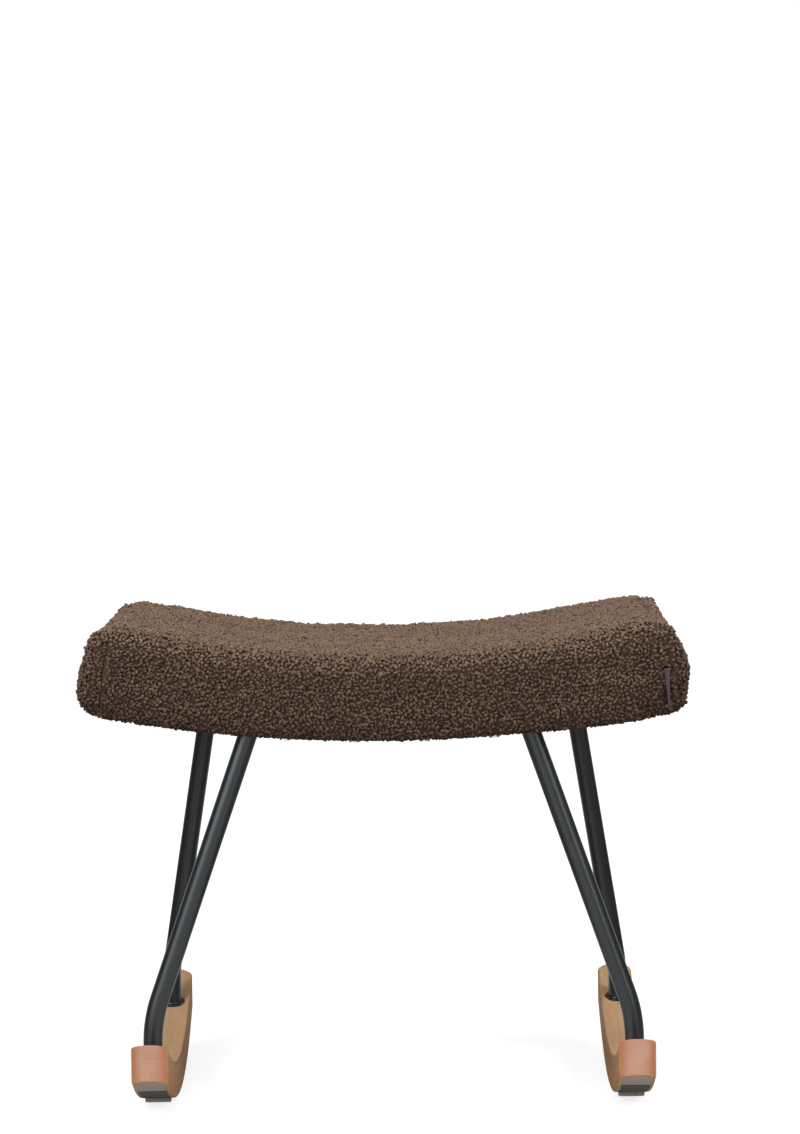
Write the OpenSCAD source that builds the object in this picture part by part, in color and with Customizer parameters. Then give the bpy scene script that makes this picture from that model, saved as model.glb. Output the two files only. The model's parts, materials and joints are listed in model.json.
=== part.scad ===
// Rocking footstool: a dished, padded seat on four bent steel legs and two curved wooden rockers.
// +X is to the right, +Y is to the back, +Z is up, and the floor is z = 0 under the middle.

/* [Seat] */
// Width of the cushion over the curly fabric
seat_w = 554; // [480:1:640]
// Depth of the cushion over the curly fabric
seat_d = 396; // [380:1:460]
// Height of the cushion's underside at its middle
seat_low_z = 359; // [330:1:400]
// Radius of the dished top, across the width
top_r = 1030; // [800:10:1800]
// Radius of the board's upper side, across the width
board_r = 1455; // [1150:5:2200]
// Rounding of the front and back edges
edge_r = 19; // [10:1:24]
// Rounding of the edges at both ends
end_r = 26; // [12:1:30]
// Rounding of the four corners seen from above
corner_r = 26; // [12:1:40]
// Thickness of the curly fabric
fabric_t = 9; // [5:0.5:12]
// Thickness of the foam in the middle
foam_t = 47; // [36:1:60]
// Thickness of the bent plywood board
board_t = 15; // [12:1:20]
// How far the foam wraps past the edge of the board
foam_wrap = 10; // [8:1:16]
// Width of the hem that is folded under the board
hem_w = 8; // [4:1:8]
// Thickness of the hem where it is pulled tight
hem_t = 3; // [2:0.5:4]
// Thickness of the dust cloth under the board
dust_t = 1; // [0.5:0.1:1.5]

/* [Rockers] */
// Length of a rocker seen from above
rocker_l = 410; // [370:1:480]
// Width of a rocker
rocker_w = 34; // [30:1:44]
// Distance between the middles of the rockers
rocker_span = 449; // [400:1:520]
// Radius of the underside that rolls on the floor
roll_r = 460; // [400:5:600]
// Radius of the upper side
upper_r = 484; // [420:5:720]
// Height of a rocker at its middle
rocker_t = 36; // [34:1:44]
// How far the rounded ends stand out, seen from above
nose_out = 9; // [4:0.5:14]
// Easing of the long edges
ease_r = 2; // [1:0.5:4]

/* [Legs] */
// Outer diameter of the leg tube
tube_d = 18; // [16:1:22]
// Wall of the leg tube
tube_wall = 1.5; // [1:0.1:2]
// How far a foot stands in from the end of its rocker
foot_in = 59; // [45:1:75]
// Height at which the axis of a leg kinks
kink_z = 94; // [86:1:120]
// Radius of the bend on the axis of the tube
bend_r = 128; // [70:1:150]
// Distance from the middle to the top of a front leg
front_top_x = 131; // [100:1:160]
// Distance from the middle to the top of a rear leg
rear_top_x = 182; // [150:1:210]
// How far the flange of a foot stands out from the tube
collar_w = 3; // [2:0.5:5]
// Thickness of the flange
collar_t = 2; // [1:0.5:3]
// Radius of the fillet from the flange to the tube
collar_fillet = 1.8; // [1:0.1:1.8]

/* [Frame under the seat] */
// Width of the bowed rails that carry the seat
rail_w = 30; // [26:1:34]
// Thickness of the rails
rail_t = 5; // [3:0.5:6]
// Space between the hem and the front rail
front_rail_in = 5.5; // [1:0.5:20]
// Space between the hem and the rear rail
rear_rail_in = 1; // [1:0.5:20]
// Length of a rail beyond the axis of its leg
rail_past_leg = 20; // [14:1:24]
// Width of the straight side rails
side_rail_w = 20; // [14:1:26]
// Distance from the middle to a side rail
side_rail_x = 98; // [70:1:110]

/* [Fasteners] */
// Thread of the bolts that hold the legs
bolt_d = 8; // [6:1:8]
// Length of those bolts under the head
bolt_l = 35; // [30:1:38]
// Thread of the screws that hold the seat
screw_d = 6; // [5:1:6]
// Length of those screws under the head
screw_l = 18; // [16:1:20]
// Depth of a tee nut in the board
tee_l = 9; // [7:1:10]

/* [Floor pads] */
// Diameter of a pad
pad_d = 25; // [20:1:30]
// Thickness of a pad
pad_t = 4; // [2:0.5:5]
// Distance from the middle of a rocker to a pad
pad_y = 88; // [80:1:104]
// Rounding of the lower edge of a pad
pad_edge_r = 1.5; // [0.5:0.5:1.5]

/* [Side tag] */
// Height of the folded ribbon
tag_h = 33; // [20:1:36]
// How far the ribbon stands out of the seam
tag_out = 7; // [5:1:14]
// Thickness of the ribbon
ribbon_t = 0.8; // [0.6:0.1:1]
// How far the ribbon stands past the start of the corner's rounding
tag_past = 4; // [0:1:5]
// Height of the ribbon's low end above the lower edge of the cushion there
tag_up = 7.5; // [4:0.5:20]

/* [Hidden] */

$fn = 96;
// Facets of the wide arcs of the seat and of the cushion's rounded edges
saddle_fn = 256;
edge_fn = 40;

// Clearances round a soft layer, in a weld or press seat and round a bolt, and the overrun of a cut
soft_gap = 0.3;
seat_gap = 0.05;
hole_gap = 0.3;
cut = 1;
// Extra sweep of an arc beyond the end of a rocker, in degrees
spare_angle = 3;

// Signs of the two sides and of the two ends
LEFT = -1;
RIGHT = 1;
FRONT = -1;
REAR = 1;

// Heads, washers and nuts follow their thread
head_d_share = 1.625;
head_h_share = 1;
washer_d_share = 2;
washer_t_share = 0.2;
socket_d_share = 0.75 / cos(30);
socket_h_share = 0.5;
button_h_share = 0.6;
tee_flange_d_share = 3;
tee_flange_t_share = 0.22;
tee_barrel_d_share = 1.35;

// Radii of the layers under the foam, from the top down, about one axis above the stool
r_foam_low = board_r - soft_gap;
r_board_low = board_r + board_t;
r_hem_top = r_board_low + soft_gap;
r_hem_low = r_hem_top + hem_t;
r_dust_low = r_hem_top + dust_t;
r_rail_top = r_dust_low + soft_gap;
r_rail_low = r_rail_top + rail_t;
saddle_z = seat_low_z + r_hem_low;

// The dished top bends about an axis of its own, and so do the foam's top and the fabric's inner side
foam_top_r = top_r + fabric_t + soft_gap;
r_top_mid = r_foam_low - foam_t - soft_gap - fabric_t;
r_mid = (r_top_mid + r_hem_low) / 2;
axis_drop = r_top_mid - top_r;
sweep_depth = 2 * (r_hem_low - r_top_mid);

// Plan of the layers inside the fabric and of the window in its hem
inner_w = seat_w - 2 * fabric_t;
inner_d = seat_d - 2 * fabric_t;
inner_edge_r = edge_r - fabric_t;
inner_end_r = end_r - fabric_t;
inner_corner_r = corner_r - fabric_t;
foam_w = inner_w - 2 * soft_gap;
foam_d = inner_d - 2 * soft_gap;
board_w = foam_w - 2 * foam_wrap;
board_d = foam_d - 2 * foam_wrap;
window_w = board_w - 2 * hem_w;
window_d = board_d - 2 * hem_w;
board_corner_r = inner_corner_r;
window_r = inner_corner_r / 2;

// Rails lie inside the window of the hem
front_rail_y = window_d / 2 - front_rail_in - rail_w / 2;
rear_rail_y = window_d / 2 - rear_rail_in - rail_w / 2;
tag_x = seat_w / 2 - corner_r + tag_past;

// Feet of the legs: a flat seat is milled where the inner rim of the flange meets the wood,
// and a pocket from below takes the bolt's head and washer
rocker_x = rocker_span / 2;
foot_y = rocker_l / 2 - foot_in;
nose_r = (nose_out * nose_out + rocker_w * rocker_w / 4) / 2 / nose_out;
tube_r = tube_d / 2;
bore_r = tube_r - tube_wall;
collar_r = tube_r + collar_w;
collar_land = (collar_w - collar_fillet) / 2;
foot_z = upper_side_z(foot_y - collar_r);
bolt_head_h = bolt_d * head_h_share;
washer_t = bolt_d * washer_t_share;
washer_r = bolt_d * washer_d_share / 2;
pocket_r = washer_r + 2 * hole_gap;
head_sink = 1;
pocket_z = under_side_z(foot_y + pocket_r) + head_sink + bolt_head_h + washer_t;

// Joint of a straight length with the bend: the swell of the wall and the length inside it
bend_swell = 0.03;
bend_lap = sqrt(bend_r * bend_swell);
// The threaded plug fills the upright length of a front foot, which is the shorter one
plug_l = upright_l(leg_lean(LEFT, FRONT)) - seat_gap;

// Places of the screws along a rail, as shares of the distance to its leg
rail_screw_shares = [-0.74, -0.25, 0.25, 0.74];

// Height of the upper and under side of a rocker at a distance from its middle
function upper_side_z(y) = rocker_t + upper_r - sqrt(upper_r * upper_r - y * y);
function under_side_z(y) = roll_r - sqrt(roll_r * roll_r - y * y);
// Vector along the straight length of a leg, from the kink to the underside of its rail
function leg_lean(side, end) =
    let (top_x = end == FRONT ? front_top_x : rear_top_x)
    let (top_y = end == FRONT ? front_rail_y : rear_rail_y)
    [
        side * (top_x - rocker_x),
        end * (top_y - foot_y),
        saddle_layer_z(r_rail_low, top_x) - kink_z
    ];
function lean_angle(lean) = acos(lean.z / norm(lean));
// Length of the upright foot below the bend
function upright_l(lean) = kink_z - foot_z - bend_r * tan(lean_angle(lean) / 2);
// Turn about the seat's axis that brings a point of radius r to a distance x from the middle
function saddle_turn(r, x) = asin(x / r);
// Distance from the seat's axis, along a ray at a turn, to a circle of radius r about the top's axis
function distance_on_ray(r, turn) =
    axis_drop * cos(turn) + sqrt(r * r - pow(axis_drop * sin(turn), 2));
// Height of a layer of radius r at a distance x from the middle
function saddle_layer_z(r, x) = saddle_z - sqrt(r * r - x * x);

// Rectangle along X from the origin, with rounded corners at its far end
module strip_far_rounded(l, w, r) {
    translate([0, -w / 2]) square([l - r, w]);
    translate([0, r - w / 2]) square([l, w - 2 * r]);
    for (s = [-1, 1]) translate([l - r, s * (w / 2 - r)]) circle(r);
}

// Turns its children about the seat's axis so that they lie at a distance x from the middle
// at radius r, with local -Z pointing away from the axis
module at_saddle(r, x, y) {
    translate([0, y, saddle_z]) rotate([0, -saddle_turn(r, x), 0]) translate([0, 0, -r]) children();
}

// Sector of a ring about an axis of the seat, made from a profile in radius and depth
module saddle_sweep(half_angle, axis_z) {
    translate([0, 0, axis_z]) rotate([90, 0, 0]) rotate([0, 0, -90 - half_angle])
        rotate_extrude(angle = 2 * half_angle, $fn = saddle_fn) children();
}

// Plan of a layer: corners rounded as seen along the radius, and ends that lie past the ray at a turn
module saddle_plan(turn, past, w, d, r) {
    intersection_for(side = [LEFT, RIGHT])
        translate([0, 0, saddle_z]) mirror([side == LEFT ? 1 : 0, 0, 0]) rotate([0, -turn, 0])
            translate([past - w, 0, -r_mid - w / 2]) linear_extrude(height = w) strip_far_rounded(w, d, r);
}

// Side view of the cushion's outer or inner form about the seat's axis, with ends rounded about a turn.
// The flat of an end lies a hair inside its two roundings.
module saddle_side(crown_r, r_out, turn, r) {
    difference() {
        intersection() {
            circle(r_out, $fn = saddle_fn);
            polygon([[0, 0], for (s = [-1, 1]) [s * r_out * tan(turn), -r_out] * 2]);
        }
        translate([0, -axis_drop]) circle(crown_r, $fn = saddle_fn);
    }
    x_in = distance_on_ray(crown_r + r, turn);
    for (s = [-1, 1]) rotate(-90 + s * turn) {
        for (x = [x_in, r_out - r]) translate([x, 0]) circle(r);
        translate([x_in, seat_gap - r]) square([r_out - r - x_in, 2 * (r - seat_gap)]);
    }
}

// Dished block between two radii, with plain edges
module dished_sheet(r_in, r_out, w, d, r) {
    intersection() {
        saddle_sweep(saddle_turn(r_in, w / 2) + spare_angle, saddle_z)
            translate([r_in, -d / 2 - cut]) square([r_out - r_in, d + 2 * cut]);
        saddle_plan(saddle_turn((r_in + r_out) / 2, w / 2), 0, w, d, r);
    }
}

// Form with rounded front and back edges: an upper side and an underside, each swept about its own axis
module long_edges(crown_r, r_out, w, d, r) {
    half_angle = saddle_turn(crown_r, w / 2) + spare_angle;
    intersection() {
        saddle_sweep(half_angle, saddle_z)
            translate([r_out - sweep_depth, 0]) strip_far_rounded(sweep_depth, d, r, $fn = edge_fn);
        saddle_sweep(half_angle, saddle_z - axis_drop)
            translate([crown_r + sweep_depth, 0]) mirror([1, 0])
                strip_far_rounded(sweep_depth, d, r, $fn = edge_fn);
    }
}

// Dished cushion form with rounded edges, from the radius of its top to the radius of its underside
module dished_cushion(crown_r, r_out, w, d, long_r, short_r, r) {
    turn = saddle_turn(r_mid, w / 2) - asin(short_r / r_mid);
    intersection() {
        intersection() {
            translate([0, 0, saddle_z]) rotate([90, 0, 0])
                linear_extrude(height = d + 2 * cut, center = true)
                    saddle_side(crown_r, r_out, turn, short_r);
            long_edges(crown_r, r_out, w, d, long_r);
        }
        saddle_plan(turn, short_r + seat_gap, w, d + 2 * seat_gap, r);
    }
}

// Rocker: an under side and an upper side, each swept about its own axis with eased edges,
// and a plan with rounded noses
module rocker(side) {
    x = side * rocker_x;
    color("burlywood") difference() {
        intersection() {
            rocker_sweep(x, roll_r, roll_r)
                translate([roll_r - 2 * rocker_t, 0])
                    strip_far_rounded(2 * rocker_t, rocker_w, ease_r);
            rocker_sweep(x, rocker_t + upper_r, upper_r)
                translate([upper_r + 2 * rocker_t, 0]) mirror([1, 0])
                    strip_far_rounded(2 * rocker_t, rocker_w, ease_r);
            translate([x, 0, -cut]) linear_extrude(height = 3 * rocker_t) rocker_plan();
        }
        for (end = [FRONT, REAR]) translate([x, end * foot_y, 0]) {
            translate([0, 0, foot_z]) cylinder(r = collar_r + hole_gap, h = rocker_t);
            translate([0, 0, -cut]) cylinder(d = bolt_d + 2 * hole_gap, h = 2 * rocker_t);
            translate([0, 0, -cut]) cylinder(r = pocket_r, h = pocket_z + cut);
        }
    }
}

module rocker_sweep(x, axis_z, r) {
    half_angle = asin(rocker_l / 2 / r) + spare_angle;
    translate([x, 0, axis_z]) rotate([0, 90, 0]) rotate([0, 0, -half_angle])
        rotate_extrude(angle = 2 * half_angle, $fn = saddle_fn) children();
}

module rocker_plan() {
    intersection() {
        square([rocker_w, rocker_l], center = true);
        union() {
            square([rocker_w, rocker_l - 2 * nose_out], center = true);
            for (end = [FRONT, REAR]) translate([0, end * (rocker_l / 2 - nose_r)]) circle(nose_r);
        }
    }
}

// Section of the leg tube, with a wall thickened by extra on both sides
module tube_section(extra) {
    difference() {
        circle(tube_r + extra);
        circle(bore_r - extra);
    }
}

// Leg along its axis: an upright foot, a bend, and a straight that leans from the kink to the rail,
// where its end is coped to the bow. The straight lengths enter the ends of the bend, where its wall
// is thicker by a hair.
module leg(side, end) {
    lean = leg_lean(side, end);
    angle = lean_angle(lean);
    setback = bend_r * tan(angle / 2);
    upright = upright_l(lean);
    color("dimgray") difference() {
        translate([side * rocker_x, end * foot_y, foot_z]) rotate([0, 0, atan2(lean.y, lean.x)]) {
            linear_extrude(height = upright + bend_lap) tube_section(0);
            translate([bend_r, 0, upright]) rotate([90, 0, 0]) rotate([0, 0, 180 - angle])
                rotate_extrude(angle = angle) translate([bend_r, 0]) tube_section(bend_swell);
            translate([0, 0, kink_z - foot_z]) rotate([0, angle, 0])
                translate([0, 0, setback - bend_lap])
                    linear_extrude(height = norm(lean) - setback + tube_d) tube_section(0);
        }
        translate([0, 0, saddle_z]) rotate([90, 0, 0])
            cylinder(r = r_rail_low, h = seat_d, center = true, $fn = saddle_fn);
    }
}

// Flange welded round a foot, with a fillet up to the tube
module foot_collar(side, end) {
    inner_r = tube_r + seat_gap;
    color("dimgray") translate([side * rocker_x, end * foot_y, foot_z]) rotate_extrude() {
        translate([inner_r, 0]) square([collar_r - inner_r, collar_t]);
        difference() {
            translate([inner_r, 0])
                square([collar_r - collar_land - inner_r, collar_t + collar_fillet]);
            translate([collar_r - collar_land, collar_t + collar_fillet]) circle(collar_fillet);
        }
    }
}

// Threaded plug fixed in the tube of a foot
module foot_plug(side, end) {
    color("gray") translate([side * rocker_x, end * foot_y, foot_z]) difference() {
        cylinder(r = bore_r - seat_gap, h = plug_l);
        translate([0, 0, -cut]) cylinder(d = bolt_d + 2 * seat_gap, h = plug_l + 2 * cut);
    }
}

// Socket-head bolt pointing up, with its head below the origin
module socket_bolt(d, l, head_h) {
    cylinder(d = d, h = l);
    difference() {
        translate([0, 0, -head_h]) cylinder(d = d * head_d_share, h = head_h);
        translate([0, 0, -head_h - cut])
            cylinder(d = d * socket_d_share, h = head_h * socket_h_share + cut, $fn = 6);
    }
}

module at_each_foot() {
    for (side = [LEFT, RIGHT], end = [FRONT, REAR])
        translate([side * rocker_x, end * foot_y, 0]) children();
}

module leg_bolts() {
    color("silver") at_each_foot() translate([0, 0, pocket_z - washer_t])
        socket_bolt(bolt_d, bolt_l, bolt_head_h);
}

module leg_washers() {
    color("silver") at_each_foot() translate([0, 0, pocket_z - washer_t]) difference() {
        cylinder(r = washer_r, h = washer_t);
        translate([0, 0, -cut]) cylinder(d = bolt_d + 2 * hole_gap, h = washer_t + 2 * cut);
    }
}

// Round pad square to the rolling side of a rocker
module floor_pad(side, end) {
    color("darkslategray") translate([side * rocker_x, 0, roll_r])
        rotate([end * asin(pad_y / roll_r), 0, 0]) translate([0, 0, -roll_r - pad_t])
            rotate_extrude() difference() {
                square([pad_d / 2, pad_t]);
                difference() {
                    translate([pad_d / 2 - pad_edge_r, -cut]) square([pad_edge_r + cut, pad_edge_r + cut]);
                    translate([pad_d / 2 - pad_edge_r, pad_edge_r]) circle(pad_edge_r);
                }
            }
}

// Bowed rail along X, drilled for the screws
module bowed_rail(y, top_x) {
    half_angle = saddle_turn(r_rail_top, top_x + rail_past_leg);
    color("dimgray") difference() {
        translate([0, y, 0]) saddle_sweep(half_angle, saddle_z)
            translate([r_rail_top, -rail_w / 2]) square([rail_t, rail_w]);
        at_rail_screws(y, top_x)
            translate([0, 0, -cut]) cylinder(d = screw_d + 2 * hole_gap, h = rail_t + 2 * cut);
    }
}

// Children stand on the underside of a rail at each screw, with +Z towards the seat's axis
module at_rail_screws(y, top_x) {
    for (share = rail_screw_shares) at_saddle(r_rail_low, top_x * share, y) children();
}

module at_all_rail_screws() {
    at_rail_screws(-front_rail_y, front_top_x) children();
    at_rail_screws(rear_rail_y, rear_top_x) children();
}

// Straight rail from the front rail to the rear rail
module side_rail(side) {
    front_y = rail_w / 2 - front_rail_y;
    rear_y = rear_rail_y - rail_w / 2;
    color("dimgray") at_saddle(r_rail_low, side * side_rail_x, front_y)
        translate([-side_rail_w / 2, 0, 0]) cube([side_rail_w, rear_y - front_y, rail_t]);
}

module rail_screws() {
    color("silver") at_all_rail_screws()
        socket_bolt(screw_d, screw_l, screw_d * button_h_share);
}

// Tee nut sunk flush into the top of the board
module tee_nuts() {
    flange_t = screw_d * tee_flange_t_share;
    color("silver") at_all_rail_screws() translate([0, 0, r_rail_low - board_r]) difference() {
        union() {
            translate([0, 0, -flange_t]) cylinder(d = screw_d * tee_flange_d_share, h = flange_t);
            translate([0, 0, -tee_l]) cylinder(d = screw_d * tee_barrel_d_share, h = tee_l);
        }
        translate([0, 0, -tee_l - cut])
            cylinder(d = screw_d + 2 * seat_gap, h = tee_l + 2 * cut);
    }
}

module seat_board() {
    flange_t = screw_d * tee_flange_t_share;
    color("tan") difference() {
        dished_sheet(board_r, r_board_low, board_w, board_d, board_corner_r);
        at_all_rail_screws() {
            cylinder(d = screw_d * tee_barrel_d_share + 2 * seat_gap, h = r_rail_low - board_r + cut);
            translate([0, 0, r_rail_low - board_r - flange_t - seat_gap])
                cylinder(d = screw_d * tee_flange_d_share + 2 * hole_gap, h = board_t);
        }
    }
}

// Foam over the board and round its edges
module foam_pad() {
    color("lightyellow") difference() {
        dished_cushion(foam_top_r, r_board_low, foam_w, foam_d, inner_edge_r, inner_end_r, inner_corner_r);
        dished_sheet(r_foam_low, r_board_low + cut, board_w + 2 * soft_gap, board_d + 2 * soft_gap,
            board_corner_r + soft_gap);
    }
}

// Fabric over the foam, folded under the board and open inside its hem
module seat_cover() {
    color([0.36, 0.27, 0.22]) difference() {
        dished_cushion(top_r, r_hem_low, seat_w, seat_d, edge_r, end_r, corner_r);
        dished_cushion(top_r + fabric_t, r_hem_top, inner_w, inner_d,
            inner_edge_r, inner_end_r, inner_corner_r);
        dished_sheet(r_board_low, r_hem_low + cut, window_w, window_d, window_r);
    }
}

module dust_cloth() {
    color("black") difference() {
        dished_sheet(r_hem_top, r_dust_low, window_w - 2 * soft_gap, window_d - 2 * soft_gap, window_r);
        at_all_rail_screws() cylinder(d = screw_d + 2 * hole_gap, h = 2 * rail_t);
    }
}

// Ribbon folded into a loop that stands out of the front corner seam
module side_tag() {
    loop_r = 2 * ribbon_t;
    tag_low_z = saddle_layer_z(r_hem_low, tag_x) + tag_up;
    color("dimgray") difference() {
        translate([tag_x, -seat_d / 2, tag_low_z]) linear_extrude(height = tag_h)
            difference() {
                ribbon_loop(loop_r, loop_r - tag_out);
                ribbon_loop(loop_r - ribbon_t, loop_r - tag_out);
            }
        long_edges(top_r, r_hem_low, seat_w, seat_d, edge_r);
    }
}

module ribbon_loop(r, tip_y) {
    translate([0, tip_y]) circle(r);
    translate([-r, tip_y]) square([2 * r, edge_r - tip_y]);
}

rocker(LEFT);  // rocker_left
rocker(RIGHT);  // rocker_right
leg(LEFT, FRONT);  // leg_front_left
leg(RIGHT, FRONT);  // leg_front_right
leg(LEFT, REAR);  // leg_rear_left
leg(RIGHT, REAR);  // leg_rear_right
foot_collar(LEFT, FRONT);  // foot_collar_front_left
foot_collar(RIGHT, FRONT);  // foot_collar_front_right
foot_collar(LEFT, REAR);  // foot_collar_rear_left
foot_collar(RIGHT, REAR);  // foot_collar_rear_right
foot_plug(LEFT, FRONT);  // foot_plug_front_left
foot_plug(RIGHT, FRONT);  // foot_plug_front_right
foot_plug(LEFT, REAR);  // foot_plug_rear_left
foot_plug(RIGHT, REAR);  // foot_plug_rear_right
leg_bolts();
leg_washers();
floor_pad(LEFT, FRONT);  // floor_pad_front_left
floor_pad(RIGHT, FRONT);  // floor_pad_front_right
floor_pad(LEFT, REAR);  // floor_pad_rear_left
floor_pad(RIGHT, REAR);  // floor_pad_rear_right
bowed_rail(-front_rail_y, front_top_x);  // front_rail
bowed_rail(rear_rail_y, rear_top_x);  // rear_rail
side_rail(LEFT);  // side_rail_left
side_rail(RIGHT);  // side_rail_right
rail_screws();
tee_nuts();
seat_board();
foam_pad();
seat_cover();
dust_cloth();
side_tag();
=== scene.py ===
"""Looks of a rocking footstool: a dished cushion in curly fabric on bent steel legs and wooden rockers."""

import json
import math

import bmesh
import bpy
import numpy as np
from bpy.props import FloatProperty, FloatVectorProperty, IntProperty, PointerProperty
from mathutils import Matrix, Vector, kdtree


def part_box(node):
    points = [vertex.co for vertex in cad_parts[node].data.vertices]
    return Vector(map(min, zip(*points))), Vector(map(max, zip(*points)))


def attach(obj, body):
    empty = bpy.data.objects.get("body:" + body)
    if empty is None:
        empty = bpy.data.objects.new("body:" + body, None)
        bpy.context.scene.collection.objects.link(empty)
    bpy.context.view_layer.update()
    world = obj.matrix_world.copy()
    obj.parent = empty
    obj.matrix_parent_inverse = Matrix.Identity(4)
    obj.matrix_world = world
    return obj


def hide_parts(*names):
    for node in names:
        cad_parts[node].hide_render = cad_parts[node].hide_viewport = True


bl_info = {
    "name": "Rocking footstool",
    "version": (1, 0, 0),
    "blender": (4, 5, 0),
    "location": "View3D > Sidebar > Footstool",
    "description": "Builds the cushion, the trim and the finishes of a rocking footstool round its frame",
    "category": "Add Mesh",
}

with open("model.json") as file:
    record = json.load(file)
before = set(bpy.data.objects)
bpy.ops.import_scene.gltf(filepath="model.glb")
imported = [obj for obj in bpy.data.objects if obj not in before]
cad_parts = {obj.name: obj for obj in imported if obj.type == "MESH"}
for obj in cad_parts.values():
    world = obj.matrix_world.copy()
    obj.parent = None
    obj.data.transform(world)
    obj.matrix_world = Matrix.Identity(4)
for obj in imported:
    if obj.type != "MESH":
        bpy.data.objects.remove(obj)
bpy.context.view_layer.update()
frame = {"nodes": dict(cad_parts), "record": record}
COVER_LOW, COVER_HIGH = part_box("seat_cover")
DUST_LOW, DUST_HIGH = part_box("dust_cloth")
TAG_LOW, TAG_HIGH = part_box("side_tag")
ROCKER_LOW, ROCKER_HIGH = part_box("rocker_right")
RAIL_LOW, RAIL_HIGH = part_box("rear_rail")
ROCKER_MIDDLE = (ROCKER_LOW.x + ROCKER_HIGH.x) / 2
TAG_X, TAG_Z = (TAG_LOW.x + TAG_HIGH.x) / 2, (TAG_LOW.z + TAG_HIGH.z) / 2
LEGS = ("leg_front_left", "leg_front_right", "leg_rear_left", "leg_rear_right")
MM = 0.001
RINGS = SIDES = 4


def length(name, description, default, **more):
    """A property that holds a length."""
    return FloatProperty(name=name, description=description, default=default, unit="LENGTH", precision=5, **more)


def colour(name, description, default):
    """A property that holds a linear colour."""
    return FloatVectorProperty(name=name, description=description, default=default, subtype="COLOR",
                               min=0.0, max=1.0)


def angle(name, description, default):
    """A property that holds an angle."""
    return FloatProperty(name=name, description=description, default=default, subtype="ANGLE")


def number(name, description, default):
    """A property that holds a plain number."""
    return FloatProperty(name=name, description=description, default=default)


class StageSettings(bpy.types.PropertyGroup):
    """Camera, floor and lamps."""

    camera_x: length("Camera X", "Place of the camera across the stool", 0.0224)
    camera_y: length("Camera Y", "Place of the camera in front of the stool", -3.64074)
    camera_z: length("Camera height", "Height of the camera above the floor", 0.74181)
    pitch: angle("Pitch", "How far the camera looks down", 0.06502)
    yaw: angle("Yaw", "How far the camera looks to the right", -0.00302)
    roll: angle("Roll", "How far the camera is tipped", -0.01353)
    lens: number("Lens", "Focal length on a film 36 mm high", 120.16)
    floor_size: length("Floor", "Width of the floor", 14.0)
    key_power: number("Key lamp", "Power of the lamp above, in watts", 52.0)
    left_power: number("Left lamp", "Power of the lamp at the front left, in watts", 40.0)
    right_power: number("Right lamp", "Power of the lamp at the right, in watts", 34.0)
    front_power: number("Front lamp", "Power of the low lamp in front, in watts", 26.0)
    gloss_power: number("Strip lamps", "Power of the left strip that only gloss shows, in watts", 70.0)
    fill: number("Fill", "Strength of the light from all round", 0.24)
    floor_colour: colour("Floor colour", "Colour of the floor", (0.38, 0.38, 0.38))


class SeatSettings(bpy.types.PropertyGroup):
    """Form of the cushion."""

    width: length("Width", "Width of the cushion over its fabric", 0.554)
    radius: length("Radius of the dish", "Distance from the seat's axis to the middle of the top", 1.3984)
    top_radius: length("Radius of the top", "Radius of the dished top about its own axis", 1.03)
    thickness: length("Thickness", "Thickness of the cushion's middle with its board", 0.0749)
    hang: length("Hang", "How far the lower front edge hangs below the underside", 0.0042)
    pile: length("Depth of the pile", "How far the cloth lies inside the tips of its curls", 0.0035)
    edge: length("Edge rounding", "Rounding of the long edges", 0.014)
    shift: length("Shift", "How far the upholstery sits to the left of the frame's middle", 0.004)
    corner: length("Corner rounding", "Rounding of the corners seen from above", 0.022)
    swell: length("Swell", "Most that the foam may push the cloth out", 0.004)
    voxel: length("Voxel", "Mesh size of the cloth while it is simulated", 0.005)
    pressure: number("Pressure", "Pressure of the foam on the cloth", 4.0)
    seam_in: length("Seam place", "Distance from each end to the seam of its end panel", 0.017)
    seam_depth: length("Seam depth", "How deep the seams are pulled in", 0.0042)
    seam_width: length("Seam width", "Half width of the groove at a seam", 0.0045)


class PileSettings(bpy.types.PropertyGroup):
    """Curls of the fabric, which rise and fall in small tufts."""

    spacing: length("Curl spacing", "Least distance between the middles of two curls", 0.00265)
    radius: length("Curl radius", "Mean radius of a curl", 0.0017)
    wire: length("Thickness", "Mean radius of the lock of fibres in a curl", 0.00152)
    lift: length("Lift", "Mean height of the curls above the cloth", 0.0012)
    lean: angle("Lean", "How far the curls lean to all sides", 0.6)
    tuft_size: length("Tuft size", "Distance between the middles of two tufts", 0.0085)
    tuft_height: length("Tuft height", "How far the middle of a tuft stands above its rim", 0.0034)
    seed: IntProperty(name="Seed", description="Seed of the random places", default=11)


class TrimSettings(bpy.types.PropertyGroup):
    """Small pieces."""

    foil_width: length("Foil width", "Width of the foil plate under each nose", 0.027)
    foil_gap: length("Foil gap", "Bare wood between the nose and the foil plate", 0.003)
    foil_length: length("Foil length", "Length of the foil plate", 0.094)
    foil_thickness: length("Foil thickness", "Thickness of the foil plate", 0.0003)
    roll_radius: length("Rolling radius", "Radius of the rockers' undersides", 0.46)
    staple_length: length("Staple", "Length of a staple's crown", 0.0105)
    staple_wire: length("Staple wire", "Thickness of a staple's wire", 0.0009)
    staple_step: length("Staple step", "Distance between staples", 0.034)
    bead: length("Weld bead", "Radius of a weld bead", 0.0016)


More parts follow.
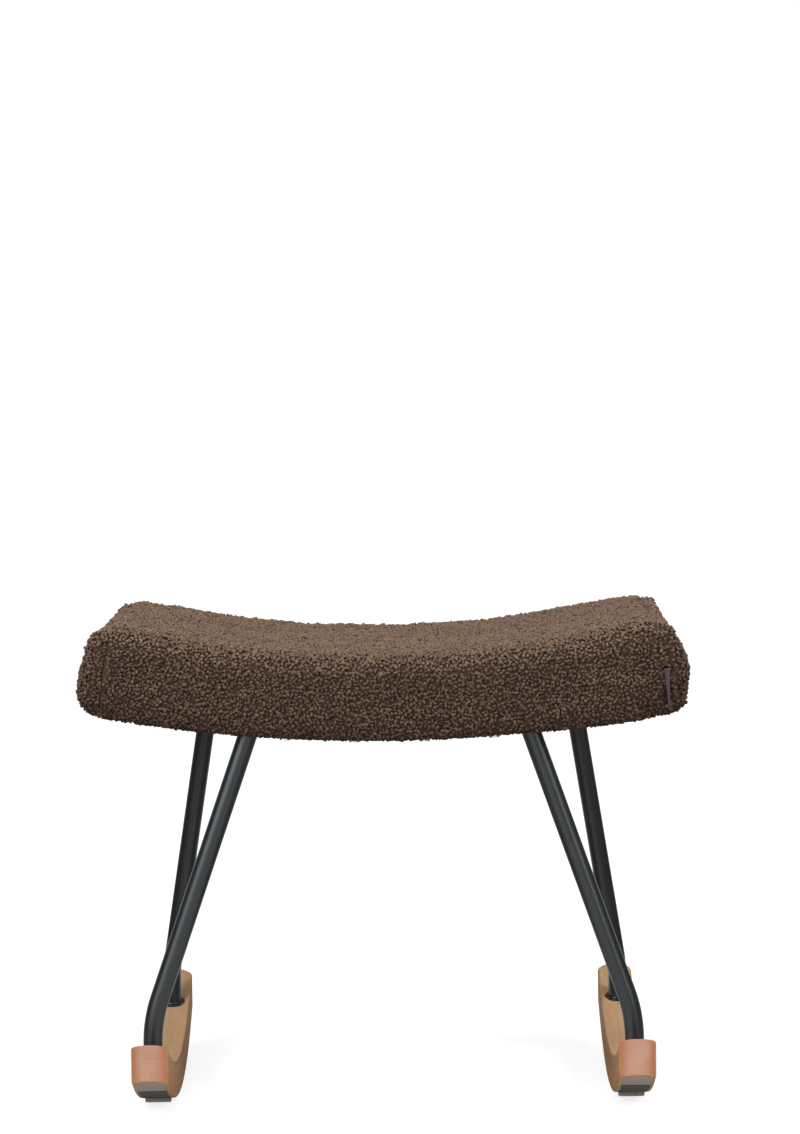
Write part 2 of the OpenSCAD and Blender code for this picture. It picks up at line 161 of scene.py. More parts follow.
class FinishSettings(bpy.types.PropertyGroup):
    """Colours, all linear."""

    curl_tip: colour("Curl tips", "Colour of the tips of the curls", (0.152, 0.102, 0.0745))
    # Painted shade: the curls darken towards this colour deep in the pile, where little light reaches.
    curl_root_shade: colour("Curl roots", "Colour of the fabric deep in the pile", (0.025, 0.0125, 0.0085))
    wood: colour("Wood", "Colour of the rockers", (0.65, 0.412, 0.232))
    wood_dark: colour("Wood grain", "Colour of the dark grain", (0.47, 0.275, 0.145))
    wood_end: colour("End grain", "Colour of the rounded noses", (0.415, 0.217, 0.147))
    steel: colour("Powder coat", "Colour of the legs", (0.0032, 0.0042, 0.0048))
    zinc: colour("Zinc", "Colour of the bolts and screws", (0.55, 0.55, 0.54))
    rubber: colour("Pads", "Colour of the floor pads", (0.455, 0.395, 0.35))
    foil: colour("Foil", "Colour of the front of the foil plates", (0.46, 0.405, 0.385))
    foil_dark: colour("Dark foil", "Colour of the rest of the foil plates", (0.15, 0.137, 0.12))
    dust: colour("Dust cloth", "Colour of the cloth under the seat", (0.014, 0.014, 0.015))
    ribbon: colour("Ribbon", "Colour of the side tag", (0.045, 0.031, 0.036))
    board: colour("Board", "Colour of the bent plywood", (0.60, 0.44, 0.27))


def settings(name):
    """The property group of that name on the scene."""
    return getattr(bpy.context.scene, "footstool_" + name)


class Shade:
    """A number or colour in a node tree. Arithmetic on it adds Math nodes."""

    def __init__(self, tree, socket):
        self.tree = tree
        self.socket = socket

    def __add__(self, other):
        return self.tree.math("ADD", self, other)

    def __radd__(self, other):
        return self.tree.math("ADD", other, self)

    def __sub__(self, other):
        return self.tree.math("SUBTRACT", self, other)

    def __rsub__(self, other):
        return self.tree.math("SUBTRACT", other, self)

    def __mul__(self, other):
        return self.tree.math("MULTIPLY", self, other)

    def __rmul__(self, other):
        return self.tree.math("MULTIPLY", other, self)

    def __truediv__(self, other):
        return self.tree.math("DIVIDE", self, other)

    def __rtruediv__(self, other):
        return self.tree.math("DIVIDE", other, self)

    def __pow__(self, other):
        return self.tree.math("POWER", self, other)

    def __rpow__(self, other):
        return self.tree.math("POWER", other, self)

    def __abs__(self):
        return self.tree.math("ABSOLUTE", self)


class Tree:
    """The nodes of a material or of the world."""

    def __init__(self, owner):
        owner.use_nodes = True
        self.nodes = owner.node_tree.nodes
        self.links = owner.node_tree.links

    def node(self, kind, values=None, sockets=None, output=0):
        """Adds a node, sets its values and then its sockets, and returns one of its outputs."""
        made = self.nodes.new(kind)
        for name, value in (values or {}).items():
            if name == "stops":
                self.set_stops(made.color_ramp, value)
            else:
                setattr(made, name, value)
        for key, value in (sockets or {}).items():
            self.join(value, made.inputs[key])
        return Shade(self, made.outputs[output])

    def join(self, value, socket):
        """Links a shade to a socket, or sets a constant on it."""
        if isinstance(value, Shade):
            self.links.new(value.socket, socket)
        elif socket.type == "RGBA":
            socket.default_value = (*value, 1.0)[:4]
        else:
            socket.default_value = value

    def set_stops(self, ramp, stops):
        """Sets a colour ramp's stops, each a place and a grey or a colour."""
        while len(ramp.elements) < len(stops):
            ramp.elements.new(1.0)
        for element, (position, shade) in zip(ramp.elements, stops):
            element.position = position
            element.color = (*shade, 1.0) if isinstance(shade, tuple) else (shade, shade, shade, 1.0)

    def also(self, shade, *names):
        """These outputs of the node that a shade comes from."""
        return [Shade(self, shade.socket.node.outputs[name]) for name in names]

    def math(self, operation, first, second=0.0):
        return self.node("ShaderNodeMath", {"operation": operation}, {0: first, 1: second})

    def step(self, value, low, high):
        """0 below low, 1 above high, and smooth between."""
        return self.node("ShaderNodeMapRange", {"interpolation_type": "SMOOTHSTEP"},
                         {"Value": value, "From Min": low, "From Max": high})

    def point(self, output="Object"):
        """The point on the piece in metres, or another texture coordinate."""
        return self.node("ShaderNodeTexCoord", output=output)

    def stretched(self, scale):
        """The point on the piece, stretched."""
        return self.node("ShaderNodeMapping", None, {"Vector": self.point(), "Scale": scale})

    def parts(self, vector):
        """The three numbers of a vector."""
        return self.also(self.node("ShaderNodeSeparateXYZ", None, {0: vector}), "X", "Y", "Z")

    def vector(self, x, y, z):
        return self.node("ShaderNodeCombineXYZ", None, {0: x, 1: y, 2: z})

    def noise(self, at, scale, detail=2.0, roughness=0.5):
        return self.node("ShaderNodeTexNoise", None,
                         {"Vector": at, "Scale": scale, "Detail": detail, "Roughness": roughness}, "Fac")

    def streaks(self, x, y, z, detail=2.0, roughness=0.5):
        """Noise at a point whose three numbers are stretched apart."""
        return self.noise(self.vector(x, y, z), 1.0, detail, roughness)

    def cells(self, at, scale):
        return self.node("ShaderNodeTexVoronoi", None, {"Vector": at, "Scale": scale}, "Distance")

    def ramp(self, value, *stops):
        return self.node("ShaderNodeValToRGB", {"stops": stops}, {0: value}, "Color")

    def mix(self, factor, first, second, how="MIX"):
        """Blends two colours."""
        return self.node("ShaderNodeMix", {"data_type": "RGBA", "blend_type": how},
                         {0: factor, 6: first, 7: second}, 2)

    def blend(self, first, second, value, *stops):
        """Blends two colours by a ramp over a value."""
        return self.mix(self.ramp(value, *stops), first, second)

    def bump(self, height, distance, strength=1.0):
        return self.node("ShaderNodeBump", None, {"Strength": strength, "Distance": distance, "Height": height})


class Finish(Tree):
    """A material: a Principled shader and the nodes that vary it."""

    def __init__(self, name, **constants):
        super().__init__(bpy.data.materials.new(name))
        self.set(**constants)

    def set(self, **shades):
        """Sets the shader's sockets, to constants or to shades that change over the surface."""
        for socket, value in shades.items():
            self.join(value, self.nodes["Principled BSDF"].inputs[socket.replace("_", " ")])


def curly_fabric():
    """Dense curls of brown wool, each curl a little different, with painted shade that darkens them from the tips
    down to the roots.
    """
    look = settings("finishes")
    cloth = Finish("curly_wool", Roughness=0.65, Specular_IOR_Level=0.04, Sheen_Weight=0.03,
                   Sheen_Roughness=0.5, Sheen_Tint=(0.80, 0.62, 0.50))
    tone, tip = [cloth.node("ShaderNodeAttribute", {"attribute_name": name}, output="Fac")
                 for name in ("tone", "tip")]
    at = cloth.point()
    patches = cloth.noise(at, 22.0, 3.0)
    fibre = cloth.noise(at, 1500.0, 2.0, 0.6)
    # Painted shade: the tip number blends from the curls' own colour at the tips to dark shade deep in the pile.
    shade = cloth.mix(tip, look.curl_root_shade, look.curl_tip)
    warmth = cloth.ramp(tone * 0.62 + patches * 0.38, (0.18, (0.70, 0.66, 0.64)),
                        (0.5, (0.97, 0.95, 0.93)), (0.85, (1.24, 1.22, 1.18)))
    flecks = cloth.ramp(fibre, (0.3, 0.82), (0.7, 1.14))
    for layer in (warmth, flecks):
        shade = cloth.mix(1.0, shade, layer, "MULTIPLY")
    cloth.set(Base_Color=shade, Normal=cloth.bump(fibre, 0.0005, 0.55))


def rocker_wood():
    """Clear-coated beech: long grain that follows the bow, fine flecks, and reddish end grain, with painted shade
    on the flat sides and towards the side edges of each nose.
    """
    look = settings("finishes")
    wood = Finish("clear_beech", Specular_IOR_Level=0.01, Coat_Roughness=0.3)
    bow = 0.47
    ring_height = 0.0705
    point = wood.point()
    x, y, z = wood.parts(point)
    drop = bow - z
    radius = (y * y + drop * drop) ** 0.5
    along = wood.math("ARCTAN2", y, drop) * bow
    warp = wood.streaks(x * 14.0, along * 5.0, radius * 14.0)
    rings = wood.streaks(x * 55.0, along * 3.2 + warp, (radius + warp * 0.018) * 260.0, 2.5, 0.55)
    lines = wood.streaks(x * 420.0, along * 9.0, radius * 620.0)
    flecks = wood.streaks(x * 900.0, along * 120.0, radius * 900.0, 1.0, 0.4)
    sideways, facing, _ = wood.parts(wood.point("Normal"))
    flank = wood.step(abs(sideways), 0.5, 0.85)
    nose = wood.step(abs(facing), 0.60, 0.66)

    shade = wood.blend(look.wood, look.wood_dark, rings, (0.34, 0.0), (0.68, 1.0))
    shade = wood.mix(0.5 + flank * 0.4, look.wood, shade)
    shade = wood.blend(shade, look.wood_dark, lines, (0.38, 0.22), (0.58, 0.0))
    shade = wood.blend(shade, look.wood_dark, flecks, (0.66, 0.0), (0.74, 0.32))
    # Painted shade: the rockers' flat sides are darker than their tops.
    shade = wood.mix(flank, shade, wood.mix(1.0, shade, (0.74, 0.68, 0.66), "MULTIPLY"))

    layers = wood.streaks(x * 60.0, y * 60.0, z * 900.0, 2.0, 0.6)
    pores = wood.cells(wood.vector(x, y, z * 1.6), 1300.0)
    patches = wood.noise(point, 38.0)
    end = wood.blend(look.wood_end, (0.43, 0.205, 0.13), layers, (0.35, 0.0), (0.7, 0.55))
    end = wood.blend(end, (0.36, 0.17, 0.11), pores, (0.1, 0.35), (0.4, 0.0))
    end = wood.blend(end, (0.58, 0.36, 0.27), patches, (0.35, 0.35), (0.65, 0.0))
    # Painted shade: each nose turns a deeper, darker orange towards its side edges, where its rounded face turns
    # away from the light. The noise only breaks up the border.
    to_edge = abs(abs(x) - ROCKER_MIDDLE) / (ROCKER_HIGH.x - ROCKER_MIDDLE)
    end = wood.mix(wood.step(to_edge + patches * 0.3, 0.5, 1.1), end, (0.43, 0.17, 0.075))
    ring = wood.step(abs(z - ring_height + warp * 0.002) / 0.0005, 1.0, 0.0)
    end = wood.mix(ring * wood.step(patches, 0.42, 0.55) * 0.6, end, (0.40, 0.13, 0.08))

    wood.set(Base_Color=wood.mix(nose, shade, end), Roughness=0.46 + lines * 0.16, Coat_Weight=nose * 0.25,
             Normal=wood.bump(lines + flecks * 0.6, 0.0004, 0.25))


def black_steel():
    """Satin powder coat with a fine orange peel."""
    steel = Finish("powder_coat", Specular_IOR_Level=0.45)
    dark = settings("finishes").steel
    at = steel.point()
    peel = steel.noise(at, 900.0)
    cloud = steel.noise(at, 30.0)
    shade = steel.mix(cloud, dark, [1.35 * part for part in dark])
    steel.set(Base_Color=shade, Roughness=0.30 + cloud * 0.06, Normal=steel.bump(peel, 0.0002, 0.15))


def zinc():
    """Zinc plate with turning marks and a faint blue and yellow cast."""
    metal = Finish("zinc_plate", Metallic=1.0)
    cast = metal.noise(metal.point(), 70.0)
    marks = metal.noise(metal.stretched((1.0, 1.0, 14.0)), 700.0)
    shade = metal.mix(cast, settings("finishes").zinc, (0.60, 0.58, 0.50))
    metal.set(Base_Color=shade, Roughness=0.28 + marks * 0.2, Normal=metal.bump(marks, 0.0001, 0.3))


def pad_rubber():
    """Matte taupe rubber with a fine grain and patches of dust."""
    pad = Finish("taupe_rubber", Specular_IOR_Level=0.05)
    at = pad.point()
    grain = pad.noise(at, 1400.0)
    dust = pad.noise(at, 160.0, 3.0)
    shade = pad.blend(settings("finishes").rubber, (0.42, 0.375, 0.335), dust, (0.4, 0.0), (0.75, 0.7))
    pad.set(Base_Color=shade, Roughness=0.78 + grain * 0.12, Normal=pad.bump(grain, 0.0003, 0.4))


def plywood():
    """Bent plywood: pale face veneer, and darker glue lines between the plies at its edges."""
    ply = Finish("bent_plywood", Roughness=0.7)
    ply_thickness = 0.0015
    x, y, z = ply.parts(ply.point())
    drop = saddle_axis() - z
    depth = (x * x + drop * drop) ** 0.5
    plies = ply.math("FRACT", depth / ply_thickness)
    grain = ply.streaks(x * 12.0, y * 220.0, z * 12.0, 3.0)
    shade = ply.blend(settings("finishes").board, (0.46, 0.31, 0.18), grain, (0.35, 0.0), (0.7, 0.6))
    shade = ply.blend(shade, (0.24, 0.14, 0.08), plies, (0.04, 0.55), (0.12, 0.0))
    ply.set(Base_Color=shade, Normal=ply.bump(grain, 0.0003, 0.3))


def dust_cloth_finish():
    """Thin black non-woven cloth with its small pressed dots."""
    cloth = Finish("nonwoven_cloth", Specular_IOR_Level=0.2)
    at = cloth.point()
    dots = cloth.ramp(cloth.cells(at, 420.0), (0.15, 0.0), (0.4, 1.0))
    fibre = cloth.noise(at, 1100.0, 3.0, 0.65)
    shade = cloth.mix(fibre, settings("finishes").dust, (0.035, 0.035, 0.037))
    cloth.set(Base_Color=shade, Roughness=0.8 + fibre * 0.15, Normal=cloth.bump(dots, 0.0003, 0.5))


def ribbon_finish():
    """Satin ribbon woven in fine ribs across its length."""
    cloth = Finish("satin_ribbon", Specular_IOR_Level=0.12, Sheen_Weight=0.1)
    rib_step = 0.0007
    at = cloth.point()
    z = cloth.parts(at)[2]
    ribs = cloth.math("SINE", z * (2.0 * math.pi / rib_step)) * 0.5 + 0.5
    shade = cloth.mix(cloth.noise(at, 260.0), settings("finishes").ribbon, (0.08, 0.057, 0.066))
    shade = cloth.mix(ribs * 0.5, shade, (0.03, 0.022, 0.03))
    cloth.set(Base_Color=shade, Roughness=0.42 + ribs * 0.2, Normal=cloth.bump(ribs, 0.0002, 0.5))


def foil_finish():
    """Blank brushed foil, creased a little and scuffed, darker behind a slanting line."""
    look = settings("finishes")
    foil = Finish("blank_foil", Specular_IOR_Level=0.03)
    at = foil.point()
    brushed = foil.noise(foil.stretched((1.0, 26.0, 26.0)), 60.0, 3.0)
    scuffs = foil.noise(at, 210.0, 3.0, 0.6)
    creases = foil.noise(at, 90.0, 1.0)
    x, y, _ = foil.parts(at)
    slant = 0.12
    rearward = y - (abs(x) - ROCKER_MIDDLE) * slant
    line = abs(rearward + 0.1665) / 0.0014
    shade = foil.mix(foil.step(rearward, -0.168, -0.167), look.foil, look.foil_dark)
    shade = foil.mix(foil.step(line, 1.0, 0.6), shade, (0.02, 0.018, 0.016))
    shade = foil.blend(shade, (0.22, 0.20, 0.18), scuffs, (0.35, 0.0), (0.72, 0.2))
    foil.set(Base_Color=shade, Roughness=0.40 + brushed * 0.25,
             Normal=foil.bump(creases + brushed * 0.3, 0.0005, 0.5))


def dress(obj, finish):
    """Gives a piece one material."""
    obj.data.materials.clear()
    obj.data.materials.append(bpy.data.materials[finish])


def keep(obj, finish):
    """Finishes a new piece: its place goes into its mesh, and it rides on the stool."""
    settle(obj)
    bpy.ops.object.shade_smooth()
    dress(obj, finish)
    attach(obj, "root")


def settle(obj):
    """Puts a piece's place, turn and scale into its mesh."""
    pick(obj)
    bpy.ops.object.transform_apply(location=True, rotation=True, scale=True)


def pick(obj):
    """Makes a piece the only one that is selected."""
    bpy.ops.object.select_all(action="DESELECT")
    bpy.context.view_layer.objects.active = obj
    obj.select_set(True)


def primitive(name, add, **values):
    """Adds a primitive with nothing else selected, and names it."""
    bpy.ops.object.select_all(action="DESELECT")
    add(**values)
    obj = bpy.context.object
    obj.name = obj.data.name = name
    pick(obj)
    return obj


def new_object(name, data):
    """Puts a new mesh, lamp or camera into the scene."""
    obj = bpy.data.objects.new(name, data)
    bpy.context.scene.collection.objects.link(obj)
    return obj


def select_in(obj, kind, test):
    """In edit mode, selects the vertices, edges or faces that pass the test, and nothing else."""
    bpy.ops.mesh.select_all(action="DESELECT")
    bpy.ops.mesh.select_mode(type={"verts": "VERT", "edges": "EDGE", "faces": "FACE"}[kind])
    shape = bmesh.from_edit_mesh(obj.data)
    for item in getattr(shape, kind):
        if test(item):
            item.select_set(True)
    shape.select_flush_mode()
    bmesh.update_edit_mesh(obj.data)


def points_of(obj, what="co"):
    """The vertices of a piece as an array, or their normals."""
    found = np.empty(len(obj.data.vertices) * 3)
    obj.data.vertices.foreach_get(what, found)
    return found.reshape(-1, 3)


def normals_of(obj):
    return points_of(obj, "normal")


def set_points(obj, points):
    obj.data.vertices.foreach_set("co", np.asarray(points, np.float32).ravel())
    obj.data.update()


def set_numbers(mesh, **numbers):
    """Stores numbers on the points of a mesh, for its finish."""
    for name, value in numbers.items():
        mesh.attributes.new(name, "FLOAT", "POINT")
        mesh.attributes[name].data.foreach_set("value", value.astype(np.float32))


def apply_modifier(obj, kind, **values):
    """Adds a modifier with these values and applies it."""
    pick(obj)
    made = obj.modifiers.new(kind.lower(), kind)
    for name, value in values.items():
        setattr(made, name, value)
    bpy.ops.object.modifier_apply(modifier=made.name)


def saddle_axis():
    """Height of the axis that the seat's layers bend about."""
    seat = settings("seat")
    return COVER_LOW.z + seat.radius + seat.thickness


def mid_radius():
    seat = settings("seat")
    return seat.radius + seat.thickness / 2


def half_turn():
    """Angle from the middle of the seat to its end."""
    return math.asin(settings("seat").width / 2 / mid_radius())


def crown(run):
    """Height of the cushion at this run along the dish, as a share of its height in the middle."""
    seat = settings("seat")
    turn = run / mid_radius()
    drop = seat.radius - seat.top_radius
    to_top = drop * np.cos(turn) + np.sqrt(seat.top_radius ** 2 - (drop * np.sin(turn)) ** 2)
    return (seat.radius + seat.thickness - to_top) / seat.thickness


def bend_down(points):
    """Bends flat points, whose z is the height above the underside and x the run along the dish."""
    seat = settings("seat")
    angle = points[:, 0] / mid_radius()
    radius = seat.radius + seat.thickness - points[:, 2]
    return np.stack([radius * np.sin(angle), points[:, 1], saddle_axis() - radius * np.cos(angle)], 1)


def unbend(points):
    """The reverse of bend_down."""
    seat = settings("seat")
    drop = saddle_axis() - points[:, 2]
    angle = np.arctan2(points[:, 0], drop)
    radius = np.hypot(points[:, 0], drop)
    return np.stack([angle * mid_radius(), points[:, 1], seat.radius + seat.thickness - radius], 1)


def flat_height(z):
    """Height above the underside of a point in the middle of the seat."""
    return unbend(np.array([[0.0, 0.0, z]]))[0, 2]


def is_under(flat):
    """Which flat points lie in the cushion's underside."""
    return flat[:, 2] < settings("seat").pile + 2 * MM


def waves(points, size, seed, octaves=3):
    """Smooth random heights from -1 to 1 about this far apart, as sums of sine waves in random directions."""
    rng = np.random.RandomState(seed)
    total = np.zeros(len(points))
    for octave in range(octaves):
        for _ in range(9):
            way = rng.normal(size=3)
            way /= np.linalg.norm(way)
            pace = 2 * math.pi / (size * rng.uniform(0.7, 1.4)) * 1.9 ** octave
            total += np.sin(points @ way * pace + rng.uniform(0, 2 * math.pi)) * 0.62 ** octave
    return total / np.abs(total).max()


def smooth_step(values, low, high):
    """0 below low, 1 above high, and smooth between."""
    share = np.clip((values - low) / (high - low), 0, 1)
    return share * share * (3 - 2 * share)


def lumps(points):
    """Heights from 0 to 1 of the rounded tufts that the curls lie in."""
    pile = settings("pile")
    size, margin = pile.tuft_size, 30 * MM
    rng = np.random.RandomState(pile.seed)
    low, high = np.array(COVER_LOW) - margin, np.array(COVER_HIGH) + margin
    counts = np.ceil((high - low) / size).astype(int)
    cell = ((points - low) / size).astype(int)
    nearest = np.full(len(points), 9.0)
    shift = rng.uniform(0, 1, (*counts + 2, 3))
    for step in np.ndindex(3, 3, 3):
        near = np.clip(cell + step - 1, 0, counts)
        centre = (near + shift[near[:, 0], near[:, 1], near[:, 2]]) * size + low
        nearest = np.minimum(nearest, np.linalg.norm(points - centre, axis=1) / size)
    return np.sqrt(np.clip(1 - (nearest / 0.95) ** 2, 0, 1))


def tuft_rise(tuft):
    """How far the cloth rises under its tufts, or sinks between them."""
    share, level = 0.75, 0.35
    return share * settings("pile").tuft_height * (tuft - level)


def cushion_block():
    """A flat block with rounded corners and edges, a little smaller than the cushion."""
    seat = settings("seat")
    inset = seat.pile + seat.swell * 0.3
    low = seat.pile - 1.2 * MM
    run = 2 * half_turn() * mid_radius() - 1.3 * inset
    depth = COVER_HIGH.y - COVER_LOW.y - 2 * inset
    height = seat.thickness - seat.pile - seat.swell * 0.75 - low
    block = primitive("curly_cushion", bpy.ops.mesh.primitive_cube_add, size=1, location=(0, 0, low + height / 2))
    block.scale = (run, depth, height)
    settle(block)
    bpy.ops.object.mode_set(mode="EDIT")
    select_in(block, "edges", lambda e: abs(e.verts[0].co.z - e.verts[1].co.z) > height / 2)
    bpy.ops.mesh.bevel(offset=seat.corner - inset, segments=8, affect="EDGES")
    for level, radius in ((low + height, seat.edge - 3 * MM), (low, 0.95 * seat.edge)):
        select_in(block, "edges", lambda e: all(abs(v.co.z - level) < MM / 10 for v in e.verts))
        bpy.ops.mesh.bevel(offset=radius, segments=6, affect="EDGES")
    bpy.ops.object.mode_set(mode="OBJECT")
    return block


def inflate(cushion):
    """Lets the foam swell the cloth in a cloth simulation, with the stapled underside held."""
    seat = settings("seat")
    last_frame = 20
    rest = points_of(cushion)
    held = cushion.vertex_groups.new(name="stapled")
    held.add([int(i) for i in np.nonzero(is_under(unbend(rest)))[0]], 1.0, "REPLACE")
    pick(cushion)
    cloth = cushion.modifiers.new("cloth", "CLOTH")
    for name, value in {"quality": 5, "mass": 0.3, "tension_stiffness": 14.0, "compression_stiffness": 14.0,
                        "bending_stiffness": 1.2, "use_pressure": True,
                        "uniform_pressure_force": seat.pressure, "vertex_group_mass": "stapled"}.items():
        setattr(cloth.settings, name, value)
    cloth.settings.effector_weights.gravity = 0.0
    cloth.collision_settings.use_collision = False
    cloth.point_cache.frame_start = 1
    cloth.point_cache.frame_end = last_frame
    for frame_number in range(1, last_frame + 1):
        bpy.context.scene.frame_set(frame_number)
    bpy.ops.object.modifier_apply(modifier=cloth.name)
    bpy.context.scene.frame_set(1)
    moved = points_of(cushion) - rest
    far = np.linalg.norm(moved, axis=1)
    if not np.isfinite(far).all() or far.max() < MM / 20:
        raise RuntimeError("the cloth simulation moved nothing")
    share = seat.swell * np.tanh(far / seat.swell) / np.maximum(far, 1e-9)
    set_points(cushion, rest + moved * share[:, None])
    cushion.vertex_groups.clear()


def seam_runs():
    """Distance of the end panels' seams from the middle, along the dish."""
    return half_turn() * mid_radius() - settings("seat").seam_in


def window_half():
    """Half width along the dish, and half depth, of the window in the hem that the dust cloth fills."""
    low = unbend(np.array([[DUST_LOW.x, 0.0, DUST_HIGH.z]]))[0]
    return -low[0], -DUST_LOW.y


def to_hem(flat):
    """How far inside that window flat points lie."""
    half_run, half_depth = window_half()
    return np.minimum(half_run - np.abs(flat[:, 0]), half_depth - np.abs(flat[:, 1]))


class FOOTSTOOL_OT_cushion(bpy.types.Operator):
    """Makes the cushion's cloth: simulated over the foam, lumpy, pulled in at the seams, raised in tufts."""

    bl_idname = "footstool.cushion"
    bl_label = "Cushion"

    def execute(self, context):
        seat = settings("seat")
        cushion = cushion_block()
        apply_modifier(cushion, "REMESH", mode="VOXEL", voxel_size=seat.voxel, adaptivity=0.0)
        apply_modifier(cushion, "SMOOTH", factor=0.5, iterations=3)
        flat = points_of(cushion)
        flat[:, 2] *= crown(flat[:, 0])
        set_points(cushion, bend_down(flat))
        inflate(cushion)
        apply_modifier(cushion, "SUBSURF", levels=1, render_levels=1)

        points, normals = points_of(cushion), normals_of(cushion)
        flat = unbend(points)
        under = is_under(flat)
        bulge, window_lift, slant, tuck, droop = 0.9, 2.4 * MM, 22, 5, 3 * MM
        run, back, high = flat.T
        groove = np.exp(-((np.abs(run) - seam_runs()) / seat.seam_width) ** 2) * seat.seam_depth
        height = np.where(under, -window_lift * smooth_step(to_hem(flat), -0.003, 0.004),
                          waves(points, 0.06, 3, 2) * bulge * MM - groove)
        points += normals * height[:, None]
        front = smooth_step(-back, 0.165, 0.184) * smooth_step(-high, -0.034, -0.006)
        points[:, 2] -= front * seat.hang * (1 + 0.6 * smooth_step(run, 0.12, 0.22))
        top, bottom = smooth_step(high, 0.045, 0.075), smooth_step(-high, -0.04, -0.005)
        right_end = smooth_step(run, 0.20, 0.27)
        points[:, 0] += MM * right_end * (top * (slant * back - 0.5) - tuck * bottom)
        points[:, 0] -= seat.shift * smooth_step(high, 0.0, 0.02)
        rear_corner = smooth_step(np.abs(run), 0.20, 0.27) * smooth_step(back, 0.10, 0.19)
        points[:, 2] -= droop * rear_corner * top
        set_points(cushion, points)
        points += normals_of(cushion) * np.where(under, 0.0, tuft_rise(lumps(points)))[:, None]
        set_points(cushion, points)
        # The cloth under the curls takes painted pile shade. It is darkest beside the side tag, where the gap
        # between tag and curls lies in shade.
        set_numbers(cushion.data, tone=np.full(len(points), 0.45),
                    tip=np.where(near_tag(points, normals), 0.0, 0.3))
        keep(cushion, "curly_wool")
        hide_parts("seat_cover", "foam_pad")
        return {"FINISHED"}


def near_tag(points, normals, width=4.5 * MM):
    """Where the cloth lies beside the side tag."""
    beside = np.abs(points[:, 0] - TAG_X) < width
    level = np.abs(points[:, 2] - TAG_Z) < 18 * MM
    return beside & level & (points[:, 1] < 0) & (normals[:, 1] < -0.3)


def scatter(cushion, spacing, rng):
    """Random points on the cushion, no two closer than spacing, with the cloth's normals there."""
    mesh = cushion.data
    mesh.calc_loop_triangles()
    corners = np.empty(len(mesh.loop_triangles) * 3, int)
    mesh.loop_triangles.foreach_get("vertices", corners)
    corners = corners.reshape(-1, 3)
    points, normals = points_of(cushion), normals_of(cushion)
    a, b, c = (points[corners[:, i]] for i in range(3))
    areas = np.linalg.norm(np.cross(b - a, c - a), axis=1) / 2
    tries = 8.0
    count = int(areas.sum() / spacing ** 2 * tries)
    chosen = rng.choice(len(areas), count, p=areas / areas.sum())
    u, v = rng.uniform(size=(2, count, 1))
    over = u + v > 1
    u, v = np.where(over, 1 - u, u), np.where(over, 1 - v, v)
    found = a[chosen] * (1 - u - v) + b[chosen] * u + c[chosen] * v
    facing = unit(sum(normals[corners[chosen, i]] for i in range(3)) / 3)
    tree = kdtree.KDTree(count)
    for i, point in enumerate(found):
        tree.insert(point, i)
    tree.balance()
    free, kept = np.ones(count, bool), np.zeros(count, bool)
    for i in range(count):
        if free[i]:
            kept[i] = True
            for _, j, _ in tree.find_range(found[i], spacing):
                free[j] = False
    return found[kept], facing[kept]


def unit(vectors):
    return vectors / np.linalg.norm(vectors, axis=-1, keepdims=True)


def side_ways(normals):
    """Two directions square to each normal and to each other."""
    helper = np.where(np.abs(normals[:, 2:]) < 0.9, (0.0, 0.0, 1.0), (1.0, 0.0, 0.0))
    first = unit(np.cross(helper, normals))
    return first, np.cross(normals, first)


def curl_places(points, normals, rng):
    """Middles and directions of the curls, a number for the tone of each (partly random, partly painted shade that
    darkens curls towards the rims of their tufts), and how far in its tuft it stands.
    """
    pile = settings("pile")
    count = len(points)
    first, second = side_ways(normals)
    angle = rng.uniform(0, 2 * math.pi, (count, 1))
    way = first * np.cos(angle) + second * np.sin(angle)
    lean = rng.normal(0, pile.lean, (count, 1))
    tuft = lumps(points)
    high = pile.lift * rng.uniform(0.0, 2.0, count) + pile.tuft_height * (0.25 * tuft + 0.06)
    high *= 1 - 0.8 * smooth_step(-normals[:, 2], 0.4, 0.9)
    places = points + normals * high[:, None]
    facing = unit(normals * np.cos(lean) + way * np.sin(lean))
    # Tone is partly random and partly painted shade: curls at the rims of their tufts get darker tones than those
    # at the crowns.
    tone = np.clip(rng.uniform(0, 1, count) * 0.6 + tuft * 0.4, 0, 1)
    return places, facing, tone, tuft


def curl_rings(places, facing, rng):
    """Rings of points round a small curled lock at each place: (curl, ring, side, xyz)."""
    pile = settings("pile")
    count = len(places)
    run = np.linspace(0, 1, RINGS)[None, :]
    turns = rng.uniform(0.22, 0.55, (count, 1))
    radius = pile.radius * rng.uniform(0.7, 1.35, (count, 1))
    wire = pile.wire * rng.uniform(0.65, 1.3, (count, 1))
    hand = rng.choice((-1.0, 1.0), (count, 1))
    angle = rng.uniform(0, 2 * math.pi, (count, 1)) + hand * 2 * math.pi * turns * run
    spiral = radius * (1.15 - 0.3 * run)
    pitch = rng.normal(0, 1.1 * MM, (count, 1))
    rise = 1.3 * MM * (np.sin(math.pi * (0.1 + 0.8 * run)) - 0.7) + (run - 0.5) * pitch
    centre = np.stack([spiral * np.cos(angle), spiral * np.sin(angle), rise], 2)
    centre[:, :, :2] -= centre[:, :, :2].mean(1, keepdims=True)
    out = np.stack([np.cos(angle), np.sin(angle), np.zeros_like(angle)], 2)
    along = unit(np.gradient(centre, axis=1))
    side = unit(np.cross(along, out))
    out = np.cross(side, along)
    thick = wire * np.sin(math.pi * np.clip(run * 0.86 + 0.07, 0, 1)) ** 0.5
    turn = np.arange(SIDES) * 2 * math.pi / SIDES + math.pi / SIDES
    local = (centre[:, :, None] + thick[:, :, None, None]
             * (np.cos(turn)[None, None, :, None] * out[:, :, None]
                + np.sin(turn)[None, None, :, None] * side[:, :, None]))
    first, second = side_ways(facing)
    turned = np.stack([first, second, facing], 2)
    return places[:, None, None] + np.einsum("nij,nrsj->nrsi", turned, local)


